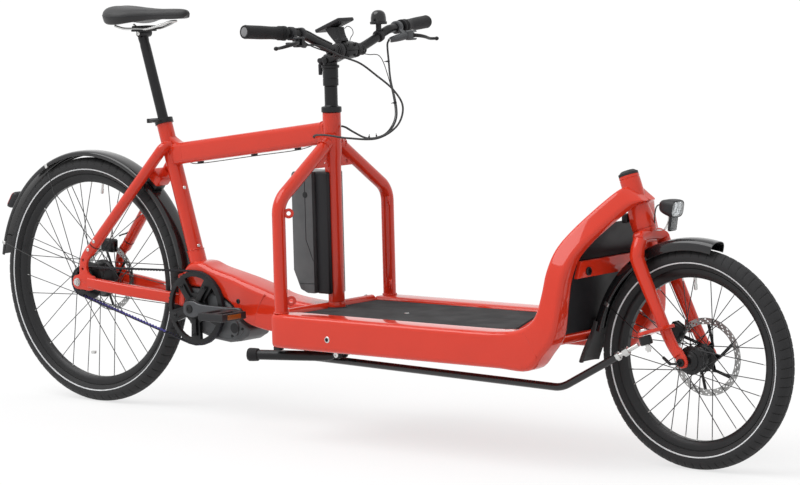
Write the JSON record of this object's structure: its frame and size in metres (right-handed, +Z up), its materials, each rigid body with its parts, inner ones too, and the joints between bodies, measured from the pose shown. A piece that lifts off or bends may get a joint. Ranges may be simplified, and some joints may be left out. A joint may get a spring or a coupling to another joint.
{
  "type": "electric cargo bike",
  "caption": "Long electric cargo bike with a low platform before the rider, a belt drive, a linkage-steered small front wheel and a larger rear wheel.",
  "frame": {"origin": "on the ground, midway between the ends of the bike and in its middle plane", "axes": "+X towards the nose, +Y to the rider's left, +Z up"},
  "size_m": [2.5236, 0.7012, 1.066],
  "materials": {
    "frame_paint": "gloss",
    "black_paint": "satin",
    "black_plastic": "satin",
    "motor_grey": "satin",
    "rubber": "matt",
    "mat": "matt",
    "black_metal": "black anodised",
    "grey_metal": "dark grey satin",
    "steel": "brushed",
    "belt": "matt"
  },
  "bodies": {
    "frame": {"seat_tube": "frame_paint", "top_tube": "frame_paint", "drive_beam": "frame_paint", "right_rear_stays": "frame_paint", "left_rear_stays": "frame_paint", "column_tube": "frame_paint", "right_arch_tube": "frame_paint", "left_arch_tube": "frame_paint", "right_side_rail": "frame_paint", "left_side_rail": "frame_paint", "deck_frame": "frame_paint", "deck_mat": "mat", "front_head_tube": "frame_paint", "front_brace": "frame_paint", "front_panel": "black_plastic", "motor": "motor_grey", "battery_mount": "black_plastic", "rear_mudguard": "black_paint", "rear_light": "black_plastic", "rear_caliper": "black_metal", "seat_collar": "black_metal", "belt": "belt", "rear_brake_hose": "rubber", "front_brake_hose": "rubber"},
    "battery": {"battery": "motor_grey"},
    "collar_lever": {"seat_collar_lever": "black_metal"},
    "seat": {"seatpost": "black_metal", "saddle_rails": "steel", "saddle": "rubber"},
    "kickstand": {"kickstand": "black_metal"},
    "column": {"steering_column": "black_metal"},
    "cockpit": {"stem": "black_metal", "handlebar": "black_metal", "right_grip": "rubber", "left_grip": "rubber", "right_brake_body": "black_plastic", "left_brake_body": "black_plastic", "display": "black_plastic", "bell": "black_plastic"},
    "stem_lever": {"stem_lever": "black_plastic"},
    "right_lever": {"right_brake_lever": "black_metal"},
    "left_lever": {"left_brake_lever": "black_metal"},
    "shifter": {"shifter_paddle": "black_plastic"},
    "fork": {"fork": "frame_paint", "front_axle": "black_metal", "front_caliper": "black_metal", "headlight": "black_plastic", "front_mudguard": "black_paint"},
    "rod": {"steering_rod": "black_paint"},
    "rear_wheel": {"rear_tyre": "rubber", "rear_wheel": "black_metal", "rear_rotor": "steel"},
    "front_wheel": {"front_tyre": "rubber", "front_wheel": "black_metal", "front_rotor": "steel"},
    "crank": {"crankset": "grey_metal", "belt_ring": "black_metal"},
    "sprocket": {"rear_sprocket": "black_metal"},
    "right_pedal": {"right_pedal": "black_plastic"},
    "left_pedal": {"left_pedal": "black_plastic"}
  },
  "joints": [
    {"name": "rear_wheel_spin", "type": "hinge", "parent": "frame", "child": "rear_wheel", "pos_m": [-0.91616, 0, 0.33], "axis": [0, 1, 0], "continuous": true},
    {"name": "fork_turn", "type": "hinge", "parent": "frame", "child": "fork", "pos_m": [0.82985, 0, 0.665], "axis": [-0.3256, 0, 0.9455], "range_deg": [-30, 30]},
    {"name": "front_wheel_spin", "type": "hinge", "parent": "fork", "child": "front_wheel", "pos_m": [1.00884, 0, 0.253], "axis": [0, 1, 0], "continuous": true},
    {"name": "column_turn", "type": "hinge", "parent": "frame", "child": "column", "pos_m": [-0.06416, 0, 0.5], "axis": [0, 0, 1], "range_deg": [-31.26, 31.26], "deforming": ["rear_brake_hose", "front_brake_hose"]},
    {"name": "rod_swing", "type": "hinge", "parent": "column", "child": "rod", "pos_m": [-0.06416, -0.115, 0.196], "axis": [0.0012, 0.0373, 0.9993], "range_deg": [-31.26, 31.26]},
    {"name": "stem_height", "type": "slide", "parent": "column", "child": "cockpit", "axis": [0, 0, 1], "range_m": [0, 0.06], "deforming": ["rear_brake_hose", "front_brake_hose"]},
    {"name": "stem_lever_turn", "type": "hinge", "parent": "cockpit", "child": "stem_lever", "pos_m": [-0.09015, 0, 0.924], "axis": [0, 1, 0], "range_deg": [0, 110]},
    {"name": "right_lever_pull", "type": "hinge", "parent": "cockpit", "child": "right_lever", "pos_m": [0.02344, -0.21871, 0.9787], "axis": [0, 0, -1], "range_deg": [0, 18], "stiffness_Nm_per_rad": 1.5, "springref_deg": -11.46},
    {"name": "left_lever_pull", "type": "hinge", "parent": "cockpit", "child": "left_lever", "pos_m": [0.02344, 0.21871, 0.9787], "axis": [0, 0, 1], "range_deg": [0, 18], "stiffness_Nm_per_rad": 1.5, "springref_deg": -11.46},
    {"name": "paddle_push", "type": "hinge", "parent": "cockpit", "child": "shifter", "pos_m": [-0.02141, -0.17055, 0.97313], "axis": [0, 0, -1], "range_deg": [0, 20], "stiffness_Nm_per_rad": 0.5, "springref_deg": -11.46},
    {"name": "seat_height", "type": "slide", "parent": "frame", "child": "seat", "axis": [-0.2847, 0, 0.9586], "range_m": [-0.1, 0.05]},
    {"name": "collar_lever_open", "type": "hinge", "parent": "frame", "child": "collar_lever", "pos_m": [-0.67877, -0.019, 0.7635], "axis": [0, 0, -1], "range_deg": [0, 170]},
    {"name": "kickstand_fold", "type": "hinge", "parent": "frame", "child": "kickstand", "pos_m": [0.06885, 0, 0.216], "axis": [0, -1, 0], "range_deg": [0, 118]},
    {"name": "battery_release", "type": "slide", "parent": "frame", "child": "battery", "axis": [-1, 0, 0], "range_m": [0, 0.12]},
    {"name": "crank_spin", "type": "hinge", "parent": "frame", "child": "crank", "pos_m": [-0.50216, 0, 0.283], "axis": [0, 1, 0], "continuous": true, "deforming": ["belt"]},
    {"name": "sprocket_spin", "type": "hinge", "parent": "frame", "child": "sprocket", "pos_m": [-0.91616, 0, 0.33], "axis": [0, 1, 0], "continuous": true},
    {"name": "right_pedal_spin", "type": "hinge", "parent": "crank", "child": "right_pedal", "pos_m": [-0.33215, 0, 0.283], "axis": [0, 1, 0], "continuous": true},
    {"name": "left_pedal_spin", "type": "hinge", "parent": "crank", "child": "left_pedal", "pos_m": [-0.67215, 0, 0.283], "axis": [0, 1, 0], "continuous": true}
  ],
  "couplings": [
    {"joint": "column_turn", "follows": "fork_turn", "ratio": 1.042},
    {"joint": "rod_swing", "follows": "fork_turn", "ratio": -1.042},
    {"joint": "sprocket_spin", "follows": "crank_spin", "ratio": 2.5}
  ]
}
